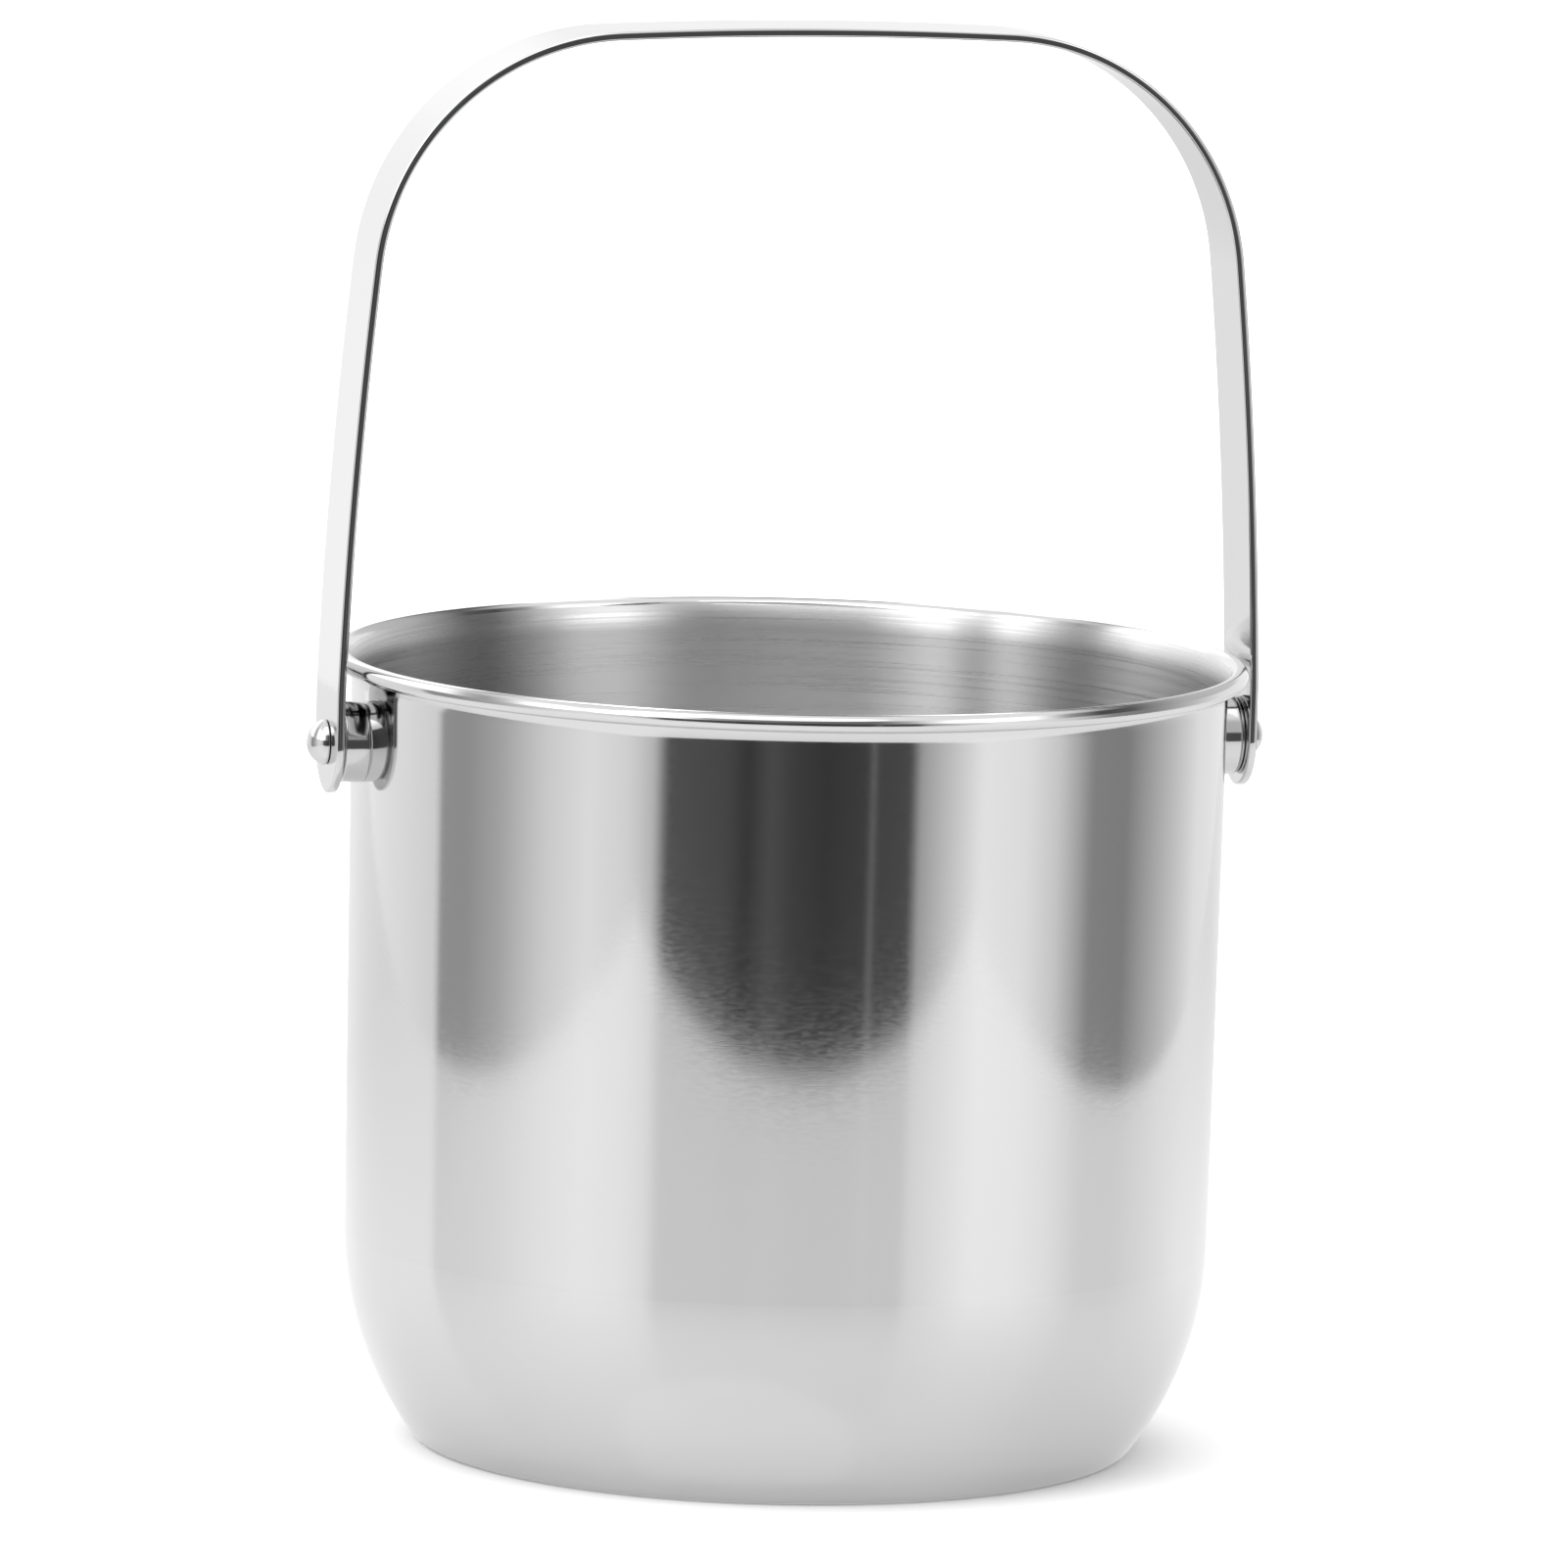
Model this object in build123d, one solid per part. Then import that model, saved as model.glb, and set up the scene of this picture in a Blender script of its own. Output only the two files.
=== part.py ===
"""Ice bucket: a drawn stainless bowl with a rolled rim and a flat strap handle that swings on two rivets.

Millimetres. The origin is the middle of the foot, +Z is up, and the handle's pivots lie along X.
"""
from build123d import *

import os
from math import asin, atan, atan2, cos, degrees, radians, sin, sqrt

# Body: one sheet of stainless steel. Radii and heights are to the outside of the sheet.
SHEET = 0.7
BODY_HEIGHT = 132.0
WALL_RADIUS_LOW = 71.8
WALL_RADIUS_HIGH = 72.6
BOTTOM_CURVE_TOP = 35.0
BOTTOM_CURVE_RADIUS = 57.0
FOOT_CORNER_RADIUS = 2.8
FOOT_RING_INNER_RADIUS = 51.0
PUSH_UP_HEIGHT = 1.2
PUSH_UP_SLOPE = 35.0

# Rim: the wall flares out and rolls over into an open bead.
RIM_RADIUS = 76.0
BEAD_RADIUS = 1.5
BEAD_TURN = 270.0
NECK_START_HEIGHT = 126.8

# Handle: a flat strap, upright at rest, with a full-round eye at each end. Angles are leans in degrees.
PIVOT_HEIGHT = 118.0
STRAP_THICKNESS = 1.4
STRAP_WIDTH = 16.8
STRAP_MIDDLE_X = 77.75
EYE_FLAT_LENGTH = 8.0
LEG_BEND_RADIUS = 60.0
LEG_LEAN_LOW = 1.7
LEG_BOW_RADIUS = 955.0
LEG_LEAN_HIGH = 5.9
SHOULDER_RADIUS = 42.0
CROWN_LEAN = 2.4

# Pivots: a boss on the wall, a thin washer, and a domed rivet through the strap into the boss.
BOSS_RADIUS = 6.65
BOSS_EDGE = 0.4
WASHER_RADIUS = 6.3
WASHER_THICKNESS = 0.4
FACE_GAP = 0.1
SHANK_RADIUS = 2.0
SHANK_CLEARANCE = 0.08
SHANK_DEPTH = 3.2
HEAD_RADIUS = 3.75
HEAD_RIM = 0.5
HEAD_HEIGHT = 3.1

STRAP_INNER_X = STRAP_MIDDLE_X - STRAP_THICKNESS / 2
STRAP_OUTER_X = STRAP_MIDDLE_X + STRAP_THICKNESS / 2
BOSS_FACE_X = STRAP_INNER_X - FACE_GAP - WASHER_THICKNESS
HEAD_FACE_X = STRAP_OUTER_X + FACE_GAP
HOLE_RADIUS = SHANK_RADIUS + SHANK_CLEARANCE
JOIN_TOLERANCE = 1e-6


def skin(arcs, shift, start, end):
    """One face of a bent sheet: its middle line's arcs moved sideways, with straight runs between them.

    Each arc is (centre, radius, start angle, sweep). A positive shift is to the left of travel.
    """
    edges = []
    at = Vector(*start)
    for centre, radius, start_angle, sweep in arcs:
        side = 1 if sweep > 0 else -1
        arc = CenterArc(centre, radius - side * shift, start_angle, sweep)
        if (arc @ 0 - at).length > JOIN_TOLERANCE:
            edges.append(Line(at, arc @ 0))
        edges.append(arc)
        at = arc @ 1
    if end is not None:
        edges.append(Line(at, Vector(*end)))
    return edges


def section(arcs, thickness, starts, ends):
    """The closed outline between the two skins of a bent sheet, as a face in the XZ plane."""
    half = thickness / 2
    left = skin(arcs, half, starts[0], ends[0])
    right = skin(arcs, -half, starts[1], ends[1])
    caps = [Line(left[0] @ 0, right[0] @ 0), Line(left[-1] @ 1, right[-1] @ 1)]
    return Plane.XZ * make_face(Wire(left + right + caps))


def along_x(radius, start, stop):
    """A cylinder on the pivot axis, from one distance right of the centre to another."""
    middle = Location(((start + stop) / 2, 0, PIVOT_HEIGHT), (0, 90, 0))
    return middle * Cylinder(radius, stop - start)


def wall_radius(height):
    """Outside radius of the straight wall, which opens slightly towards the rim."""
    rise = (height - BOTTOM_CURVE_TOP) / (NECK_START_HEIGHT - BOTTOM_CURVE_TOP)
    return WALL_RADIUS_LOW + rise * (WALL_RADIUS_HIGH - WALL_RADIUS_LOW)


def bucket_body():
    """The drawn bowl: raised middle, foot ring, big bottom curve, straight wall, flared neck and bead."""
    half = SHEET / 2
    draft = atan2(WALL_RADIUS_HIGH - WALL_RADIUS_LOW, NECK_START_HEIGHT - BOTTOM_CURVE_TOP)
    up = Vector(sin(draft), cos(draft))
    out = Vector(cos(draft), -sin(draft))

    step_radius = PUSH_UP_HEIGHT / 2 / (1 - cos(radians(PUSH_UP_SLOPE)))
    step_run = 2 * step_radius * sin(radians(PUSH_UP_SLOPE))
    step_top = (FOOT_RING_INNER_RADIUS - step_run, half + PUSH_UP_HEIGHT - step_radius)
    step_foot = (FOOT_RING_INNER_RADIUS, half + step_radius)

    curve = Vector(WALL_RADIUS_LOW, BOTTOM_CURVE_TOP) - out * BOTTOM_CURVE_RADIUS
    reach = BOTTOM_CURVE_RADIUS - FOOT_CORNER_RADIUS
    corner_x = curve.X + sqrt(reach**2 - (curve.Y - FOOT_CORNER_RADIUS) ** 2)
    corner = Vector(corner_x, FOOT_CORNER_RADIUS)
    corner_end = degrees(atan2(corner.Y - curve.Y, corner.X - curve.X))

    neck_start = Vector(wall_radius(NECK_START_HEIGHT), NECK_START_HEIGHT) - out * half
    bead = Vector(RIM_RADIUS - BEAD_RADIUS, BODY_HEIGHT - BEAD_RADIUS)
    bead_middle_radius = BEAD_RADIUS - half
    to_bead = bead - neck_start
    neck_turn = 2 * atan((to_bead.dot(out) - bead_middle_radius) / to_bead.dot(up))
    neck_radius = to_bead.dot(up) / sin(neck_turn) + bead_middle_radius
    neck = neck_start + out * neck_radius
    wall_angle = 180 - degrees(draft)

    arcs = [
        (step_top, step_radius, 90, -PUSH_UP_SLOPE),
        (step_foot, step_radius, 270 - PUSH_UP_SLOPE, PUSH_UP_SLOPE),
        (corner, FOOT_CORNER_RADIUS - half, -90, corner_end + 90),
        (curve, BOTTOM_CURVE_RADIUS - half, corner_end, -degrees(draft) - corner_end),
        (neck, neck_radius, wall_angle, -degrees(neck_turn)),
        (bead, bead_middle_radius, wall_angle - degrees(neck_turn), -BEAD_TURN),
    ]
    starts = ((0, PUSH_UP_HEIGHT + SHEET), (0, PUSH_UP_HEIGHT))
    return revolve(section(arcs, SHEET, starts, (None, None)), Axis.Z, 360)


def strap_arcs():
    """Arcs of the strap's middle line from the right eye over the top to the left eye."""
    leans = [LEG_LEAN_LOW, LEG_LEAN_HIGH, 90 - CROWN_LEAN]
    radii = [LEG_BEND_RADIUS, LEG_BOW_RADIUS, SHOULDER_RADIUS]
    centre = Vector(STRAP_MIDDLE_X, PIVOT_HEIGHT + EYE_FLAT_LENGTH)
    angle = 0
    radius_before = 0
    right = []
    for radius, lean in zip(radii, leans):
        centre += Vector(cos(radians(angle)), sin(radians(angle))) * (radius_before - radius)
        right.append((centre, radius, angle, lean - angle))
        angle = lean
        radius_before = radius
    crown_start_x = centre.X + SHOULDER_RADIUS * cos(radians(angle))
    crown_radius = crown_start_x / cos(radians(angle))
    crown = centre + Vector(cos(radians(angle)), sin(radians(angle))) * (SHOULDER_RADIUS - crown_radius)
    left = [(Vector(-c.X, c.Y), r, 180 - a - s, s) for c, r, a, s in reversed(right)]
    return right + [(crown, crown_radius, angle, 2 * CROWN_LEAN)] + left


def bail_handle():
    """The strap handle, with a round eye and a running hole at each pivot."""
    inner = (STRAP_INNER_X, PIVOT_HEIGHT)
    outer = (STRAP_OUTER_X, PIVOT_HEIGHT)
    starts = (inner, outer)
    ends = ((-inner[0], inner[1]), (-outer[0], outer[1]))
    strap = extrude(section(strap_arcs(), STRAP_THICKNESS, starts, ends), STRAP_WIDTH / 2, both=True)
    eye = along_x(STRAP_WIDTH / 2, STRAP_INNER_X, STRAP_OUTER_X)
    hole = along_x(HOLE_RADIUS, STRAP_INNER_X - 1, STRAP_OUTER_X + 1)
    return strap + eye + mirror(eye, Plane.YZ) - hole - mirror(hole, Plane.YZ)


def pivot_boss():
    """The right boss: round, with its back fitted to the wall and a blind hole for the rivet's shank."""
    low = PIVOT_HEIGHT - 2 * BOSS_RADIUS
    high = PIVOT_HEIGHT + 2 * BOSS_RADIUS
    rod = along_x(BOSS_RADIUS, WALL_RADIUS_LOW - BOSS_RADIUS, BOSS_FACE_X)
    rod = chamfer(rod.edges().sort_by(Axis.X)[-1], BOSS_EDGE)
    rod -= Pos(0, 0, PIVOT_HEIGHT) * Cone(wall_radius(low), wall_radius(high), high - low)
    return rod - along_x(SHANK_RADIUS, BOSS_FACE_X - SHANK_DEPTH, BOSS_FACE_X + 1)


def handle_washer():
    """The right washer: a flat ring that keeps the strap off the boss."""
    ring = along_x(WASHER_RADIUS, BOSS_FACE_X, BOSS_FACE_X + WASHER_THICKNESS)
    return ring - along_x(HOLE_RADIUS, BOSS_FACE_X - 1, STRAP_INNER_X)


def pivot_rivet():
    """The right rivet: a shank, and a head with a short rim under a round dome, turned about the pivot axis."""
    dome_height = HEAD_HEIGHT - HEAD_RIM
    dome_radius = (HEAD_RADIUS**2 + dome_height**2) / (2 * dome_height)
    rim_x = HEAD_FACE_X + HEAD_RIM
    tip_x = HEAD_FACE_X + HEAD_HEIGHT
    corners = [
        (tip_x, 0),
        (BOSS_FACE_X - SHANK_DEPTH, 0),
        (BOSS_FACE_X - SHANK_DEPTH, SHANK_RADIUS),
        (HEAD_FACE_X, SHANK_RADIUS),
        (HEAD_FACE_X, HEAD_RADIUS),
        (rim_x, HEAD_RADIUS),
    ]
    dome_sweep = degrees(asin(HEAD_RADIUS / dome_radius))
    outline = Polyline(*corners) + CenterArc((tip_x - dome_radius, 0), dome_radius, dome_sweep, -dome_sweep)
    half_section = Plane.XZ * Pos(0, PIVOT_HEIGHT) * make_face(outline)
    return revolve(half_section, Axis((0, 0, PIVOT_HEIGHT), (1, 0, 0)), 360)


nodes = {"bucket_body": bucket_body(), "bail_handle": bail_handle()}
for make_piece in (pivot_boss, handle_washer, pivot_rivet):
    piece = make_piece()
    nodes[f"{make_piece.__name__}_right"] = piece
    nodes[f"{make_piece.__name__}_left"] = mirror(piece, Plane.YZ)

os.makedirs("parts", exist_ok=True)
for name, shape in nodes.items():
    export_step(shape, f"parts/{name}.step")
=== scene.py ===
"""Ice bucket: a spun and polished steel bowl with a swinging strap handle, in a plain white studio."""
from math import asin, atan, atan2, cos, degrees, pi, radians, sin, sqrt, tan

import bmesh
import bpy
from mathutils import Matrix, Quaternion, Vector
from mathutils.geometry import tessellate_polygon


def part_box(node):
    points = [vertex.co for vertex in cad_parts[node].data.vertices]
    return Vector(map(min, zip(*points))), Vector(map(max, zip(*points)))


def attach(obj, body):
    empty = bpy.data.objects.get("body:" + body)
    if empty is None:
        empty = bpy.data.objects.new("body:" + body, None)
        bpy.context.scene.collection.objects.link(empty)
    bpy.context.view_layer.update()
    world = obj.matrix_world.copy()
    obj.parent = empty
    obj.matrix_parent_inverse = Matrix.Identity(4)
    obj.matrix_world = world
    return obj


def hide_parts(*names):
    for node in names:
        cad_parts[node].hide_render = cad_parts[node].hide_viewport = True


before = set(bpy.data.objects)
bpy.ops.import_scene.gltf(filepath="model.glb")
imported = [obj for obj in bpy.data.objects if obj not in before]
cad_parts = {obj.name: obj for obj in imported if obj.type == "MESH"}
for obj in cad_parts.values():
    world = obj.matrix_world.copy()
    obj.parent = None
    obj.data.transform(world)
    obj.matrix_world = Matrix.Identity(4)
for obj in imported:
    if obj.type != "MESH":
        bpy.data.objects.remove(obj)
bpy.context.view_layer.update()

# ---------------------------------------------------------------------------------------------
# Camera. A long lens looks a little down on the bucket from the front left, so the left pivot is
# nearer and both the mouth and the foot are seen. It is held a little out of level.
camera_azimuth = radians(-14.3)
camera_elevation = radians(8.9)
camera_distance = 2.4
camera_roll = radians(1.50)
camera_lens = 331.4
camera_sensor = 36
body_middle_height = 0.070
aim = Vector((-0.00055, 0, 0.1103))

camera = bpy.data.objects.new("camera", bpy.data.cameras.new("camera"))
camera.data.sensor_width = camera_sensor
camera.data.lens = camera_lens
camera.data.clip_start = 0.1
camera.data.clip_end = 100
towards_camera = Vector((
    sin(camera_azimuth) * cos(camera_elevation),
    -cos(camera_azimuth) * cos(camera_elevation),
    sin(camera_elevation),
))
camera.location = Vector((0, 0, body_middle_height)) + towards_camera * camera_distance
camera.rotation_mode = "QUATERNION"
sight = aim - camera.location
camera.rotation_quaternion = sight.to_track_quat("-Z", "Y") @ Quaternion((0, 0, 1), camera_roll)
bpy.context.scene.collection.objects.link(camera)
bpy.context.scene.camera = camera
bpy.context.scene.view_settings.view_transform = "Standard"

# ---------------------------------------------------------------------------------------------
# Studio. A wide white floor, and on it, for the mirrors only, a glossy white table top with a painted
# glow, its glow and colour painted dimmer towards the back, whose front and side edges end not far off.
# Past them the room is light, with a dark bay in front and soft boxes above.
floor_reach = 14.0
floor_sides = 96
floor_grey = 0.92
table_front = 0.480
table_back = 1.6
table_left = 0.452
table_right = 0.442
table_height = 0.0002
table_turn = camera_azimuth + radians(6)
table_roughness = 0.12
# The table top's glow is painted light, not a lamp; its colour and glow are painted dimmer from the front
# to the back.
table_painted_glow = 0.34
table_dims_from = 0.05
table_dims_to = 0.40
table_painted_shade_greys = (0.38, 0.26)
table_painted_glow_greys = (1.0, 0.70)


def node(tree, kind, **settings):
    """Adds one node. A setting named after a socket (or in_ and its number) sets or links it; the rest are
    the node's own properties."""
    made = tree.nodes.new(kind)
    for name, value in settings.items():
        socket = next((s for s in made.inputs if s.name.replace(" ", "_") == name), None)
        if name.startswith("in_"):
            socket = made.inputs[int(name[3:])]
        if socket is None:
            setattr(made, name, value)
        elif isinstance(value, bpy.types.NodeSocket):
            tree.links.new(value, socket)
        else:
            socket.default_value = value
    return made


def maths(tree, operation, *values):
    """The result of one operation on numbers."""
    settings = {f"in_{place}": value for place, value in enumerate(values)}
    return node(tree, "ShaderNodeMath", operation=operation, **settings).outputs[0]


def ramp(tree, factor, stops, interpolation="LINEAR"):
    """A ramp of greys. Stops are (place from 0 to 1, grey)."""
    made = node(tree, "ShaderNodeValToRGB", in_0=factor)
    made.color_ramp.interpolation = interpolation
    points = made.color_ramp.elements
    while len(points) < len(stops):
        points.new(1)
    for point, (place, grey) in zip(points, stops):
        point.position = place
        point.color = (grey, grey, grey, 1)
    return made.outputs[0]


def flat_object(name, outline, height):
    """A flat stage piece from its outline."""
    mesh = bpy.data.meshes.new(name)
    mesh.from_pydata([(x, y, height) for x, y in outline], [], [range(len(outline))])
    piece = bpy.data.objects.new(name, mesh)
    bpy.context.scene.collection.objects.link(piece)
    return piece


floor_turns = [2 * pi * step / floor_sides for step in range(floor_sides)]
floor = flat_object("floor", [(floor_reach * cos(a), floor_reach * sin(a)) for a in floor_turns], 0)
floor.visible_glossy = False
floor_paint = bpy.data.materials.new("floor paint")
floor_paint.use_nodes = True
floor_shader = floor_paint.node_tree.nodes["Principled BSDF"]
floor_shader.inputs["Base Color"].default_value = (floor_grey, floor_grey, floor_grey, 1)
floor_shader.inputs["Roughness"].default_value = 1
floor_shader.inputs["Specular IOR Level"].default_value = 0
floor.data.materials.append(floor_paint)

table_corners = [
    (-table_left, -table_front),
    (table_right, -table_front),
    (table_right, table_back),
    (-table_left, table_back),
]
across = Vector((cos(table_turn), sin(table_turn)))
along = Vector((-sin(table_turn), cos(table_turn)))
table = flat_object("table", [across * x + along * y for x, y in table_corners], table_height)
table.visible_camera = False
table.visible_diffuse = False
table.visible_shadow = False
table_gloss_and_painted_glow = bpy.data.materials.new("table gloss")
table_gloss_and_painted_glow.use_nodes = True
tree = table_gloss_and_painted_glow.node_tree
table_shader = tree.nodes["Principled BSDF"]
table_shader.inputs["Roughness"].default_value = table_roughness
# Painted glow: the table top's emission stands in for light, and the ramps paint its colour and glow
# dimmer towards the back.
table_shader.inputs["Emission Strength"].default_value = table_painted_glow
place = node(tree, "ShaderNodeTexCoord").outputs["Object"]
back = node(tree, "ShaderNodeSeparateXYZ", in_0=place).outputs["Y"]
painted_dimming = node(tree, "ShaderNodeMapRange", in_0=back, in_1=table_dims_from, in_2=table_dims_to).outputs[0]
for socket, greys in (("Base Color", table_painted_shade_greys), ("Emission Color", table_painted_glow_greys)):
    tree.links.new(ramp(tree, painted_dimming, list(enumerate(greys))), table_shader.inputs[socket])
table.data.materials.append(table_gloss_and_painted_glow)

# The room is painted by direction. The bearing round the bucket, from the camera, picks the band, and the
# height picks between the low walls, the soft boxes that arch overhead and the ceiling. Only a mirror's
# first reflection sees the soft boxes; in what it sees of the table and of itself the low walls go on up.
# A band is (bearing in degrees, grey).
low_walls = [
    (-180, 1.0), (-158, 1.15), (-136, 1.0), (-118, 0.92), (-105, 0.84), (-102.5, 0.36), (-92, 0.36),
    (-80, 0.50), (-66, 0.80), (-53, 0.97), (-42, 0.86), (-35, 0.62), (-31.5, 0.10), (-16, 0.08),
    (-10, 0.045), (-4, 0.09), (2, 0.06), (10, 0.045), (21.5, 0.06), (22.5, 0.17), (23.5, 0.07),
    (33, 0.08), (35, 0.42), (44, 0.72), (53, 1.05), (66, 0.98), (76, 0.76), (88, 0.29),
    (101, 0.27), (112, 0.48), (138, 0.95), (180, 1.0),
]
soft_boxes = [
    (-180, 1), (-117, 1.5), (-108, 1.77), (-100, 1.58), (-94, 1.3), (-89, 0.64), (-82, 0.43), (-75, 0.74),
    (-68, 1.52), (-60, 2.59), (-56, 1.66), (-51.5, 1.2), (-48, 2.64), (-43, 3.2), (-37, 2.8), (-28, 1.58),
    (-20, 0.45), (-8, 0.25), (4, 0.2), (22, 0.2), (30, 0.52), (37, 1.12), (46, 2.13), (60, 1.91),
    (67, 1.09), (74, 0.39), (84, 0.08), (95, 0.12), (104, 0.32), (118, 0.56), (150, 0.7), (180, 1),
]
boxes_from = (10, 15)
ceiling_from = (40, 58)
white = (1.0, 1.0, 1.0, 1)
boxes_seen_to_depth = 1.5
soft_light_gain = 0.75


def by_bearing(tree, x, ahead, share_per_radian, bands):
    """The bands of a wall, picked by the angle that x and ahead make."""
    angle = maths(tree, "ARCTAN2", x, ahead)
    share = maths(tree, "MULTIPLY_ADD", angle, share_per_radian, 0.5)
    return ramp(tree, share, [((bearing + 180) / 360, grey) for bearing, grey in bands])


def above(tree, height, start, end):
    """A soft step from 0 to 1 as a direction climbs from one elevation to another, in degrees."""
    stops = [((1 + sin(radians(elevation))) / 2, value) for elevation, value in ((start, 0), (end, 1))]
    return ramp(tree, height, stops, "EASE")


def mixed(tree, share, first, second):
    """One colour giving way to another."""
    return node(tree, "ShaderNodeMix", data_type="RGBA", in_0=share, in_6=first, in_7=second).outputs[2]


room = bpy.data.worlds.new("room")
room.use_nodes = True
bpy.context.scene.world = room
tree = room.node_tree
tree.nodes.clear()
direction = node(tree, "ShaderNodeTexCoord").outputs["Generated"]
turned = node(tree, "ShaderNodeVectorRotate", rotation_type="Z_AXIS", Vector=direction,
              Angle=-camera_azimuth).outputs[0]
parts = node(tree, "ShaderNodeSeparateXYZ", in_0=turned).outputs
forward = maths(tree, "MULTIPLY", parts["Y"], -1.0)
low = by_bearing(tree, parts["X"], forward, 1 / (2 * pi), low_walls)
# With one more than forward in its place the angle is half the bearing at the horizon and shrinks with
# height, which bends the soft boxes inwards overhead.
leaning = maths(tree, "SUBTRACT", 1.0, parts["Y"])
arched = by_bearing(tree, parts["X"], leaning, 1 / pi, soft_boxes)
climb = maths(tree, "MULTIPLY_ADD", parts["Z"], 0.5, 0.5)
rays = node(tree, "ShaderNodeLightPath").outputs
early = maths(tree, "LESS_THAN", rays["Glossy Depth"], boxes_seen_to_depth)
in_boxes = maths(tree, "MULTIPLY", above(tree, climb, *boxes_from), early)
walls = mixed(tree, in_boxes, low, arched)
topped = mixed(tree, above(tree, climb, *ceiling_from), walls, white)
seen = mixed(tree, rays["Is Camera Ray"], topped, white)
strength = maths(tree, "MULTIPLY_ADD", rays["Is Diffuse Ray"], soft_light_gain, 1.0)
glow = node(tree, "ShaderNodeBackground", Color=seen, Strength=strength).outputs[0]
node(tree, "ShaderNodeOutputWorld", Surface=glow)

# One very wide, weak lamp overhead lays the soft shadow round the foot.
lamp_energy = 0.5
lamp_spread = radians(50)
lamp_tilt = (radians(25), radians(-15), 0)
lamp = bpy.data.objects.new("overhead", bpy.data.lights.new("overhead", "SUN"))
lamp.data.energy = lamp_energy
lamp.data.angle = lamp_spread
lamp.rotation_euler = lamp_tilt
bpy.context.scene.collection.objects.link(lamp)

# ---------------------------------------------------------------------------------------------
# Bowl. One sheet of stainless steel, drawn, spun and rolled over at the rim into an open bead. The
# outside and the rim are mirror polished; the inside keeps the satin of the spinning lathe.
sheet = 0.0007
wall_radius_low = 0.0718
wall_radius_high = 0.0726
bottom_curve_top = 0.035
bottom_curve_radius = 0.057
foot_corner_radius = 0.0028
foot_ring_inner_radius = 0.051
push_up_height = 0.0012
push_up_slope = 35
bead_radius = 0.0015
bead_turn = 270
neck_start_height = 0.1268
satin_ends_below_rim = 0.0007
turn_steps = 240
section_gap = 0.004
near_join = 0.00015
same_spot = 1e-7
arc_step_degrees = 3
arc_step_length = 0.0025
weld_distance = 1e-6
surface_line_depth = 0.00002
grain_turn = 0.25


def arc_points(centre, radius, start, sweep):
    """Points along an arc in the section plane, close enough that its facets don't show."""
    length = abs(radians(sweep)) * radius
    count = max(4, int(abs(sweep) / arc_step_degrees), int(length / arc_step_length))
    angles = [radians(start + sweep * step / count) for step in range(count + 1)]
    return [Vector((centre[0] + radius * cos(a), centre[1] + radius * sin(a))) for a in angles]


def run_points(start, end):
    """Points inside a straight run: one close to each end, so that the run shades flat, and some more."""
    run = end - start
    if run.length < 3 * near_join:
        return []
    along = run.normalized()
    count = max(1, int(run.length / section_gap))
    middle = [start + run * step / count for step in range(1, count)]
    return [start + along * near_join] + middle + [end - along * near_join]


def skin(arcs, shift, start):
    """One face of a bent sheet: its middle line's arcs moved sideways, joined by straight runs."""
    points = [Vector(start)]
    for centre, radius, start_angle, sweep in arcs:
        side = 1 if sweep > 0 else -1
        stretch = arc_points(centre, radius - side * shift, start_angle, sweep)
        points += run_points(points[-1], stretch[0])
        points += stretch if (stretch[0] - points[-1]).length > same_spot else stretch[1:]
    return points


def section_object(name, points, closed, marks=None):
    """A section as a chain of edges. It carries the run along it, and a mark that picks the finish."""
    mesh = bpy.data.meshes.new(name)
    count = len(points)
    edges = [(i, (i + 1) % count) for i in range(count if closed else count - 1)]
    mesh.from_pydata([(p.x, 0, p.y) for p in points], edges, [])
    run = mesh.attributes.new("run", "FLOAT", "POINT")
    inside = mesh.attributes.new("inside", "BOOLEAN", "POINT")
    length = 0.0
    for i, point in enumerate(points):
        if i:
            length += (point - points[i - 1]).length
        run.data[i].value = length
        inside.data[i].value = bool(marks and marks[i])
    piece = bpy.data.objects.new(name, mesh)
    bpy.context.scene.collection.objects.link(piece)
    return piece


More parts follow.
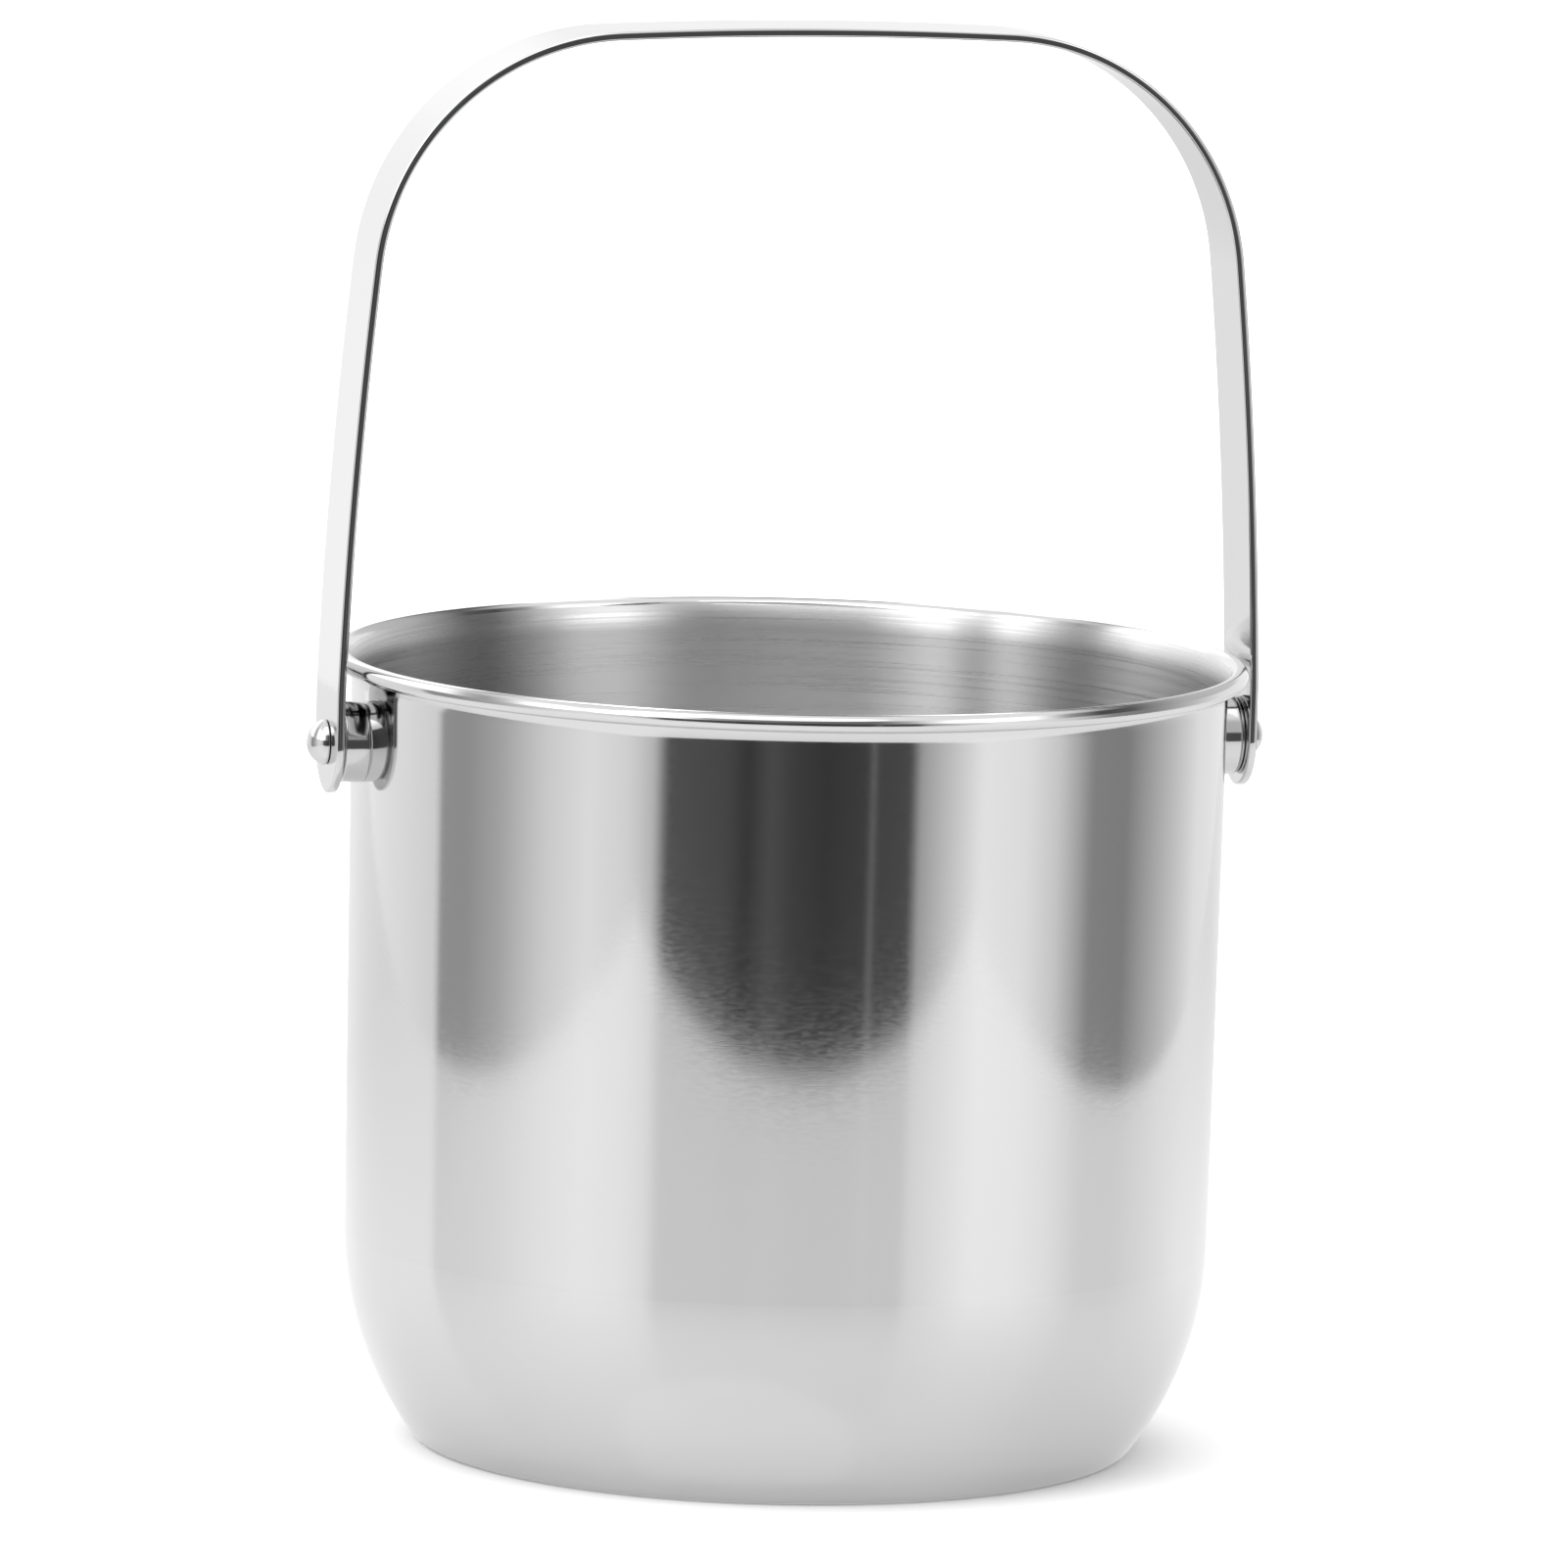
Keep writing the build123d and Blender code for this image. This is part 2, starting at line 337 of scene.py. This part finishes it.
def lathe_tree():
    """Turns a section about +Z. A grid is laid round it, one column for each turn step, then closed."""
    tree = bpy.data.node_groups.new("Lathe", "GeometryNodeTree")
    sides = tree.interface
    sides.new_socket("Section", in_out="INPUT", socket_type="NodeSocketGeometry")
    sides.new_socket("Turn Steps", in_out="INPUT", socket_type="NodeSocketInt")
    sides.new_socket("Weld Distance", in_out="INPUT", socket_type="NodeSocketFloat")
    sides.new_socket("Outside Finish", in_out="INPUT", socket_type="NodeSocketMaterial")
    sides.new_socket("Inside Finish", in_out="INPUT", socket_type="NodeSocketMaterial")
    sides.new_socket("Turned Piece", in_out="OUTPUT", socket_type="NodeSocketGeometry")
    given = node(tree, "NodeGroupInput").outputs
    section = given["Section"]
    rows = node(tree, "GeometryNodeAttributeDomainSize", Geometry=section).outputs["Point Count"]
    columns = maths(tree, "ADD", given["Turn Steps"], 1.0)
    grid = node(tree, "GeometryNodeMeshGrid", Size_X=1.0, Size_Y=1.0, Vertices_X=columns, Vertices_Y=rows)
    index = node(tree, "GeometryNodeInputIndex").outputs[0]
    column = maths(tree, "FLOOR", maths(tree, "DIVIDE", index, rows))
    row = maths(tree, "MODULO", index, rows)
    turn = maths(tree, "DIVIDE", column, given["Turn Steps"])
    angle = maths(tree, "MULTIPLY", turn, 2 * pi)
    places = node(tree, "GeometryNodeInputPosition").outputs[0]
    run = node(tree, "GeometryNodeInputNamedAttribute", data_type="FLOAT", Name="run").outputs[0]
    inside = node(tree, "GeometryNodeInputNamedAttribute", data_type="BOOLEAN", Name="inside").outputs[0]
    at = node(tree, "GeometryNodeSampleIndex", data_type="FLOAT_VECTOR", Geometry=section, Value=places,
              Index=row).outputs[0]
    run_at = node(tree, "GeometryNodeSampleIndex", data_type="FLOAT", Geometry=section, Value=run,
                  Index=row).outputs[0]
    inside_at = node(tree, "GeometryNodeSampleIndex", data_type="BOOLEAN", Geometry=section, Value=inside,
                     Index=row).outputs[0]
    spun = node(tree, "ShaderNodeVectorRotate", rotation_type="Z_AXIS", Vector=at, Angle=angle).outputs[0]
    kept_run = node(tree, "GeometryNodeStoreNamedAttribute", data_type="FLOAT", domain="POINT",
                    Geometry=grid.outputs["Mesh"], Name="run", Value=run_at).outputs[0]
    kept_side = node(tree, "GeometryNodeStoreNamedAttribute", data_type="BOOLEAN", domain="POINT",
                     Geometry=kept_run, Name="inside", Value=inside_at).outputs[0]
    mapped = node(tree, "GeometryNodeStoreNamedAttribute", data_type="FLOAT2", domain="CORNER",
                  Geometry=kept_side, Name="turned", Value=grid.outputs["UV Map"]).outputs[0]
    shaped = node(tree, "GeometryNodeSetPosition", Geometry=mapped, Position=spun).outputs[0]
    closed = node(tree, "GeometryNodeMergeByDistance", Geometry=shaped,
                  Distance=given["Weld Distance"]).outputs[0]
    smooth = node(tree, "GeometryNodeSetShadeSmooth", Geometry=closed, Shade_Smooth=True).outputs[0]
    real = node(tree, "GeometryNodeRealizeInstances", Geometry=smooth).outputs[0]
    outside = node(tree, "GeometryNodeSetMaterial", Geometry=real,
                   Material=given["Outside Finish"]).outputs[0]
    both = node(tree, "GeometryNodeSetMaterial", Geometry=outside, Selection=inside,
                Material=given["Inside Finish"]).outputs[0]
    node(tree, "NodeGroupOutput", Turned_Piece=both)
    return tree


def shape_with(piece, tree, **sizes):
    """Runs a node tree on a piece and keeps the result as its plain mesh."""
    modifier = piece.modifiers.new(tree.name, "NODES")
    modifier.node_group = tree
    for socket in tree.interface.items_tree:
        name = socket.name.replace(" ", "_")
        if socket.in_out == "INPUT" and name in sizes:
            modifier[socket.identifier] = sizes[name]
    ready = piece.evaluated_get(bpy.context.evaluated_depsgraph_get())
    mesh = bpy.data.meshes.new_from_object(ready)
    mesh.name = piece.name
    while mesh.materials[0] is None:
        mesh.materials.pop(index=0)
    piece.modifiers.remove(modifier)
    piece.data = mesh
    return piece


def steel(name, grey, roughness, anisotropy):
    """A bare steel: metal with its grain along the turning, ready for its own surface detail."""
    finish = bpy.data.materials.new(name)
    finish.use_nodes = True
    surface = finish.node_tree.nodes["Principled BSDF"]
    surface.inputs["Base Color"].default_value = (grey, grey, grey, 1)
    surface.inputs["Metallic"].default_value = 1
    surface.inputs["Roughness"].default_value = roughness
    surface.inputs["Anisotropic"].default_value = anisotropy
    return finish, finish.node_tree, surface


def vectors(tree, operation, **settings):
    """The result of one operation on vectors."""
    return node(tree, "ShaderNodeVectorMath", operation=operation, **settings).outputs[0]


def engrave(tree, surface, height, strength):
    """Lays a height pattern on a surface as fine bumps."""
    bump = node(tree, "ShaderNodeBump", Strength=strength, Distance=surface_line_depth, Height=height)
    tree.links.new(bump.outputs[0], surface.inputs["Normal"])


def vary_roughness(tree, surface, pattern, pattern_range, roughness_range):
    """Lets a pattern make a surface a little duller here and brighter there."""
    dullness = node(tree, "ShaderNodeMapRange", in_0=pattern, in_1=pattern_range[0], in_2=pattern_range[1],
                    in_3=roughness_range[0], in_4=roughness_range[1]).outputs[0]
    tree.links.new(dullness, surface.inputs["Roughness"])


def turning_lines(tree, surface, coarse, fine, strength, drift):
    """Fine rings left by spinning and polishing, as a bump that follows the run along the section."""
    around = node(tree, "ShaderNodeUVMap", uv_map="turned").outputs[0]
    angle = vectors(tree, "SCALE", in_0=around, Scale=2 * pi)
    cosine = vectors(tree, "COSINE", in_0=angle)
    sine = vectors(tree, "SINE", in_0=angle)
    east = node(tree, "ShaderNodeSeparateXYZ", in_0=cosine).outputs["X"]
    north = node(tree, "ShaderNodeSeparateXYZ", in_0=sine).outputs["X"]
    slow = node(tree, "ShaderNodeCombineXYZ", X=east, Y=north).outputs[0]
    slow = vectors(tree, "SCALE", in_0=slow, Scale=drift)
    run = node(tree, "ShaderNodeAttribute", attribute_name="run").outputs["Fac"]
    heights = []
    for lines in (coarse, fine):
        lift = node(tree, "ShaderNodeCombineXYZ", Z=maths(tree, "MULTIPLY", run, lines)).outputs[0]
        spot = vectors(tree, "ADD", in_0=slow, in_1=lift)
        noise = node(tree, "ShaderNodeTexNoise", Vector=spot, Scale=1.0, Detail=2.0)
        heights.append(noise.outputs["Fac"])
    engrave(tree, surface, maths(tree, "ADD", *heights), strength)
    return heights


mirror_steel, tree, surface = steel("mirror polished steel", grey=0.72, roughness=0.075, anisotropy=0.0)
rings = turning_lines(tree, surface, coarse=1800, fine=5000, strength=0.025, drift=45.0)
vary_roughness(tree, surface, rings[0], pattern_range=(0.3, 0.7), roughness_range=(0.065, 0.095))

satin_steel, tree, surface = steel("satin spun steel", grey=0.76, roughness=0.30, anisotropy=1.0)
rings = turning_lines(tree, surface, coarse=2500, fine=7000, strength=0.25, drift=1.2)
vary_roughness(tree, surface, rings[0], pattern_range=(0.3, 0.7), roughness_range=(0.24, 0.37))
grain = node(tree, "ShaderNodeTangent", direction_type="UV_MAP", uv_map="turned").outputs[0]
tree.links.new(grain, surface.inputs["Tangent"])
surface.inputs["Anisotropic Rotation"].default_value = grain_turn

rim_radius, _, body_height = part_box("bucket_body")[1]
half = sheet / 2
draft = atan2(wall_radius_high - wall_radius_low, neck_start_height - bottom_curve_top)
up = Vector((sin(draft), cos(draft)))
outward = Vector((cos(draft), -sin(draft)))
step_radius = push_up_height / 2 / (1 - cos(radians(push_up_slope)))
step_run = 2 * step_radius * sin(radians(push_up_slope))
step_top = (foot_ring_inner_radius - step_run, half + push_up_height - step_radius)
step_foot = (foot_ring_inner_radius, half + step_radius)
curve = Vector((wall_radius_low, bottom_curve_top)) - outward * bottom_curve_radius
reach = bottom_curve_radius - foot_corner_radius
corner = Vector((curve.x + sqrt(reach**2 - (curve.y - foot_corner_radius) ** 2), foot_corner_radius))
corner_end = degrees(atan2(corner.y - curve.y, corner.x - curve.x))
neck_start = Vector((wall_radius_high, neck_start_height)) - outward * half
bead = Vector((rim_radius - bead_radius, body_height - bead_radius))
bead_middle_radius = bead_radius - half
to_bead = bead - neck_start
neck_turn = 2 * atan((to_bead.dot(outward) - bead_middle_radius) / to_bead.dot(up))
neck_radius = to_bead.dot(up) / sin(neck_turn) + bead_middle_radius
neck = neck_start + outward * neck_radius
wall_angle = 180 - degrees(draft)
bowl_arcs = [
    (step_top, step_radius, 90, -push_up_slope),
    (step_foot, step_radius, 270 - push_up_slope, push_up_slope),
    (corner, foot_corner_radius - half, -90, corner_end + 90),
    (curve, bottom_curve_radius - half, corner_end, -degrees(draft) - corner_end),
    (neck, neck_radius, wall_angle, -degrees(neck_turn)),
    (bead, bead_middle_radius, wall_angle - degrees(neck_turn), -bead_turn),
]
inner_skin = skin(bowl_arcs, half, (0, push_up_height + sheet))
outer_skin = skin(bowl_arcs, -half, (0, push_up_height))
satin_top = body_height - satin_ends_below_rim
first_polished = next(i for i, point in enumerate(inner_skin) if point.y > satin_top)
bowl_points = outer_skin + inner_skin[::-1]
satin_marks = [False] * (len(bowl_points) - first_polished) + [True] * first_polished
bowl = section_object("bowl", bowl_points, False, satin_marks)
lathe = lathe_tree()
shape_with(bowl, lathe, Turn_Steps=turn_steps, Weld_Distance=weld_distance, Outside_Finish=mirror_steel,
           Inside_Finish=satin_steel)
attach(bowl, "bucket")
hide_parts("bucket_body")

# ---------------------------------------------------------------------------------------------
# Bosses. Two short turned studs, one on each side below the rim. Each is polished, has its front edge
# broken, and is spot welded to the wall, with a fine relief where it meets it.
pivot_height = 0.118
boss_radius = 0.00665
boss_edge = 0.0004
boss_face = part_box("pivot_boss_right")[1][0]
boss_back = 0.0720
boss_relief = 0.0004
boss_relief_end = 0.0725
shank_radius = 0.0020
shank_depth = 0.0032
pivot_turn_steps = 96


def rounded_section(corners):
    """A section from its corners (radius, distance out, rounding), with an arc at each rounded corner."""
    points = []
    spots = [Vector(corner[:2]) for corner in corners]
    for i, (here, rounding) in enumerate(zip(spots, [corner[2] for corner in corners])):
        if rounding == 0:
            stretch = [here]
        else:
            back = (spots[i - 1] - here).normalized()
            ahead = (spots[i + 1] - here).normalized()
            half_angle = back.angle(ahead) / 2
            centre = here + (back + ahead).normalized() * rounding / sin(half_angle)
            start = here + back * rounding / tan(half_angle) - centre
            end = here + ahead * rounding / tan(half_angle) - centre
            sweep = degrees(atan2(start.cross(end), start.dot(end)))
            stretch = arc_points(centre, rounding, degrees(atan2(start.y, start.x)), sweep)
        if points:
            points += run_points(points[-1], stretch[0])
        points += stretch
    return points


def pivot_piece(name, side, points, finish):
    """Turns a section and lays it on the pivot axis, to the right (side 1) or the left (side -1)."""
    piece = section_object(name, points, False)
    shape_with(piece, lathe, Turn_Steps=pivot_turn_steps, Weld_Distance=weld_distance,
               Outside_Finish=finish, Inside_Finish=finish)
    for vertex in piece.data.vertices:
        x, y, z = vertex.co
        vertex.co = (side * z, side * y, pivot_height - x)
    return piece


fitting_steel, tree, surface = steel("polished fitting steel", grey=0.70, roughness=0.09, anisotropy=0.0)
turning_lines(tree, surface, coarse=2500, fine=9000, strength=0.10, drift=1.0)

boss_section = rounded_section([
    (0, boss_back, 0),
    (boss_radius - boss_relief, boss_back, 0),
    (boss_radius - boss_relief, boss_relief_end - boss_relief, 0),
    (boss_radius, boss_relief_end, boss_relief / 2),
    (boss_radius, boss_face, boss_edge),
    (shank_radius, boss_face, 0),
    (shank_radius, boss_face - shank_depth, 0),
    (0, boss_face - shank_depth, 0),
])
for side, word in ((1, "right"), (-1, "left")):
    boss = pivot_piece(f"boss_{word}", side, boss_section, fitting_steel)
    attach(boss, "bucket")
    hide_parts(f"pivot_boss_{word}")

# ---------------------------------------------------------------------------------------------
# Washers. A thin stamped steel ring between each boss and the strap, tumbled bright rather than
# polished, so its faces show a dull even grain. It keeps the strap from rubbing on the boss.
washer_low, washer_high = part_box("handle_washer_right")
washer_radius = washer_high[1]
washer_hole_radius = 0.00208
washer_edge = 0.0001

washer_steel, tree, surface = steel("tumbled washer steel", grey=0.60, roughness=0.24, anisotropy=0.0)
turning_lines(tree, surface, coarse=3000, fine=8000, strength=0.25, drift=6.0)

washer_section = rounded_section([
    (washer_hole_radius, (washer_low[0] + washer_high[0]) / 2, 0),
    (washer_hole_radius, washer_low[0], washer_edge),
    (washer_radius, washer_low[0], washer_edge),
    (washer_radius, washer_high[0], washer_edge),
    (washer_hole_radius, washer_high[0], washer_edge),
    (washer_hole_radius, (washer_low[0] + washer_high[0]) / 2, 0),
])
for side, word in ((1, "right"), (-1, "left")):
    washer = pivot_piece(f"washer_{word}", side, washer_section, washer_steel)
    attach(washer, "bucket")
    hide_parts(f"handle_washer_{word}")

# ---------------------------------------------------------------------------------------------
# Rivets. A domed steel rivet runs through each eye of the strap and the washer into the boss. Its
# head has a short upright rim under a polished dome, and it leaves the strap free to swing.
rivet_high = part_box("pivot_rivet_right")[1]
head_radius = rivet_high[1]
head_rim = 0.0005
head_height = 0.0031
head_edge = 0.00012
head_face = rivet_high[0] - head_height
dome_height = head_height - head_rim
dome_radius = (head_radius**2 + dome_height**2) / (2 * dome_height)
dome_sweep = degrees(asin(head_radius / dome_radius))

shank_section = rounded_section([
    (0, boss_face - shank_depth, 0),
    (shank_radius, boss_face - shank_depth, 0),
    (shank_radius, head_face, 0),
    (head_radius, head_face, head_edge),
    (head_radius, head_face + head_rim, 0),
])
dome = arc_points((0, rivet_high[0] - dome_radius), dome_radius, 90 - dome_sweep, dome_sweep)
for side, word in ((1, "right"), (-1, "left")):
    rivet = pivot_piece(f"rivet_{word}", side, shank_section[:-1] + dome, fitting_steel)
    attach(rivet, "bucket")
    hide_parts(f"pivot_rivet_{word}")

# ---------------------------------------------------------------------------------------------
# Handle. A flat strip of stainless steel, blanked with full-round ends and a hole in each, its edges
# rounded and polished, then bent to a hoop with a nearly flat crown. It hangs on the two rivets.
strap_thickness = 0.0014
strap_width = 0.0168
strap_middle_x = 0.07775
strap_edge = 0.00035
strap_edge_steps = 5
strap_support = 0.00012
eye_flat_length = 0.008
hole_radius = 0.00208
eye_steps = 48
bend_radii = (0.060, 0.955, 0.042)
bend_leans = (1.7, 5.9, 87.6)
path_step = 0.0004
station_step = 0.0008
scratch_scale = (40.0, 6000.0, 6000.0)


def strap_path():
    """The strap's middle line from the right pivot over the crown to the left one, closely stepped."""
    centre = Vector((strap_middle_x, pivot_height + eye_flat_length))
    angle = 0
    radius_before = 0
    arcs = []
    for radius, lean in zip(bend_radii, bend_leans):
        centre = centre + Vector((cos(radians(angle)), sin(radians(angle)))) * (radius_before - radius)
        arcs.append((centre, radius, angle, lean - angle))
        angle = lean
        radius_before = radius
    along = Vector((cos(radians(angle)), sin(radians(angle))))
    crown_radius = (centre.x + radius_before * along.x) / along.x
    arcs.append((centre + along * (radius_before - crown_radius), crown_radius, angle, 90 - angle))
    points = [Vector((strap_middle_x, pivot_height + rise)) for rise in (0, eye_flat_length)]
    for centre, radius, start, sweep in arcs:
        count = int(radians(sweep) * radius / path_step)
        angles = [radians(start + sweep * step / count) for step in range(1, count + 1)]
        points += [centre + Vector((cos(a), sin(a))) * radius for a in angles]
    return points + [Vector((-point.x, point.y)) for point in reversed(points[:-1])]


def edge_profile():
    """Round the strap's edge from the outer face to the inner: (distance in from the edge, height)."""
    half = strap_thickness / 2
    steps = [radians(90 * step / strap_edge_steps) for step in range(strap_edge_steps + 1)]
    upper = [(strap_edge * (1 - sin(a)), half - strap_edge * (1 - cos(a))) for a in steps]
    upper = [(strap_edge + strap_support, half)] + upper
    return upper + [(inset, -height) for inset, height in reversed(upper)]


def flat_blank(length):
    """The strip before bending, along X between its two holes at 0 and length: its rounded edge all the
    way round, its two faces between the eyes, and each eye's faces with the hole through them."""
    profile = edge_profile()
    half_width = strap_width / 2
    blank = bmesh.new()
    between = length - 2 * eye_flat_length
    stations = round(between / station_step)
    straight = [0.0] + [eye_flat_length + between * i / stations for i in range(stations + 1)] + [length]
    end_turns = [pi * i / eye_steps for i in range(1, eye_steps)]
    round_end = [(length, sin(a), -cos(a)) for a in end_turns]
    other_end = [(0.0, -along, -across) for _, along, across in round_end]
    places = [(x, 0.0, -1.0) for x in straight] + round_end
    places += [(x, 0.0, 1.0) for x in reversed(straight)] + other_end
    rings = []
    for x, along, across in places:
        ring = []
        for inset, height in profile:
            reach = half_width - inset
            ring.append(blank.verts.new((x + along * reach, across * reach, height)))
        rings.append(ring)
    for ring, after in zip(rings, rings[1:] + rings[:1]):
        for i in range(len(profile) - 1):
            blank.faces.new((ring[i], ring[i + 1], after[i + 1], after[i]))
    count = len(straight)
    far = count + len(round_end)
    for i in range(1, count - 2):
        near = (rings[i], rings[i + 1])
        opposite = (rings[far + count - 1 - i], rings[far + count - 2 - i])
        blank.faces.new((near[0][0], near[1][0], opposite[1][0], opposite[0][0]))
        blank.faces.new((near[0][-1], opposite[0][-1], opposite[1][-1], near[1][-1]))
    eyes = (
        (length, rings[count - 2:far + 2]),
        (0.0, rings[far + count - 2:] + rings[:2]),
    )
    hole_turns = [2 * pi * i / eye_steps for i in range(eye_steps)]
    for middle, loop in eyes:
        hole = [(middle + hole_radius * cos(a), hole_radius * sin(a)) for a in hole_turns]
        hole_rings = []
        for end, flip in ((0, False), (-1, True)):
            height = loop[0][end].co.z
            hole_ring = [blank.verts.new((x, y, height)) for x, y in hole]
            outline = [ring[end] for ring in loop]
            flat_outline = [vertex.co.xy.to_3d() for vertex in outline]
            flat_hole = [vertex.co.xy.to_3d() for vertex in hole_ring]
            everything = outline + hole_ring
            for triangle in tessellate_polygon([flat_outline, flat_hole]):
                corners = [everything[i] for i in triangle]
                face = blank.faces.new(corners)
                face.normal_update()
                if (face.normal.z > 0) == flip:
                    face.normal_flip()
            hole_rings.append(hole_ring)
        top, bottom = hole_rings
        for i in range(eye_steps):
            after = (i + 1) % eye_steps
            wall = blank.faces.new((top[i], bottom[i], bottom[after], top[after]))
            for edge in wall.edges:
                edge.smooth = (edge.verts[0] in top) != (edge.verts[1] in top)
    return blank


def bend_tree():
    """Bends a flat blank along a path: X runs along it, Y across it and Z out of its outer side."""
    tree = bpy.data.node_groups.new("Bend along a path", "GeometryNodeTree")
    sides = tree.interface
    sides.new_socket("Blank", in_out="INPUT", socket_type="NodeSocketGeometry")
    sides.new_socket("Path", in_out="INPUT", socket_type="NodeSocketObject")
    sides.new_socket("Finish", in_out="INPUT", socket_type="NodeSocketMaterial")
    sides.new_socket("Bent Strap", in_out="OUTPUT", socket_type="NodeSocketGeometry")
    given = node(tree, "NodeGroupInput").outputs
    path_mesh = node(tree, "GeometryNodeObjectInfo", Object=given["Path"]).outputs["Geometry"]
    path = node(tree, "GeometryNodeMeshToCurve", Mesh=path_mesh).outputs[0]
    length = node(tree, "GeometryNodeCurveLength", Curve=path).outputs[0]
    flat = node(tree, "GeometryNodeInputPosition").outputs[0]
    parts = node(tree, "ShaderNodeSeparateXYZ", in_0=flat).outputs
    on_path = node(tree, "ShaderNodeClamp", in_0=parts["X"], in_1=0.0, in_2=length).outputs[0]
    past_end = maths(tree, "SUBTRACT", parts["X"], on_path)
    sample = node(tree, "GeometryNodeSampleCurve", mode="LENGTH", Curves=path, Length=on_path).outputs
    outward = vectors(tree, "CROSS_PRODUCT", in_0=(0.0, 1.0, 0.0), in_1=sample["Tangent"])
    outward = vectors(tree, "NORMALIZE", in_0=outward)
    place = sample["Position"]
    for way, distance in ((sample["Tangent"], past_end), (outward, parts["Z"])):
        step = vectors(tree, "SCALE", in_0=way, Scale=distance)
        place = vectors(tree, "ADD", in_0=place, in_1=step)
    across = node(tree, "ShaderNodeCombineXYZ", Y=maths(tree, "MULTIPLY", parts["Y"], -1.0)).outputs[0]
    place = vectors(tree, "ADD", in_0=place, in_1=across)
    kept = node(tree, "GeometryNodeStoreNamedAttribute", data_type="FLOAT_VECTOR", domain="POINT",
                Geometry=given["Blank"], Name="blank", Value=flat).outputs[0]
    bent = node(tree, "GeometryNodeSetPosition", Geometry=kept, Position=place).outputs[0]
    real = node(tree, "GeometryNodeRealizeInstances", Geometry=bent).outputs[0]
    done = node(tree, "GeometryNodeSetMaterial", Geometry=real, Material=given["Finish"]).outputs[0]
    node(tree, "NodeGroupOutput", Bent_Strap=done)
    return tree


strap_steel, tree, surface = steel("polished strap steel", grey=0.72, roughness=0.07, anisotropy=0.0)
flat_place = node(tree, "ShaderNodeAttribute", attribute_name="blank").outputs["Vector"]
lengthwise = vectors(tree, "MULTIPLY", in_0=flat_place, in_1=scratch_scale)
scratches = node(tree, "ShaderNodeTexNoise", Vector=lengthwise, Scale=1.0, Detail=3.0).outputs["Fac"]
engrave(tree, surface, scratches, strength=0.06)
vary_roughness(tree, surface, scratches, pattern_range=(0.35, 0.7), roughness_range=(0.055, 0.10))

path_points = strap_path()
path_mesh = bpy.data.meshes.new("strap path")
path_edges = [(i, i + 1) for i in range(len(path_points) - 1)]
path_mesh.from_pydata([(p.x, 0, p.y) for p in path_points], path_edges, [])
path = bpy.data.objects.new("strap_path", path_mesh)
bpy.context.scene.collection.objects.link(path)
path_length = sum((after - before).length for before, after in zip(path_points, path_points[1:]))

blank = flat_blank(path_length)
strap_mesh = bpy.data.meshes.new("handle_strap")
blank.to_mesh(strap_mesh)
blank.free()
strap_mesh.shade_smooth()
handle = bpy.data.objects.new("handle_strap", strap_mesh)
bpy.context.scene.collection.objects.link(handle)
shape_with(handle, bend_tree(), Path=path, Finish=strap_steel)
bpy.data.objects.remove(path)
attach(handle, "handle")
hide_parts("bail_handle")
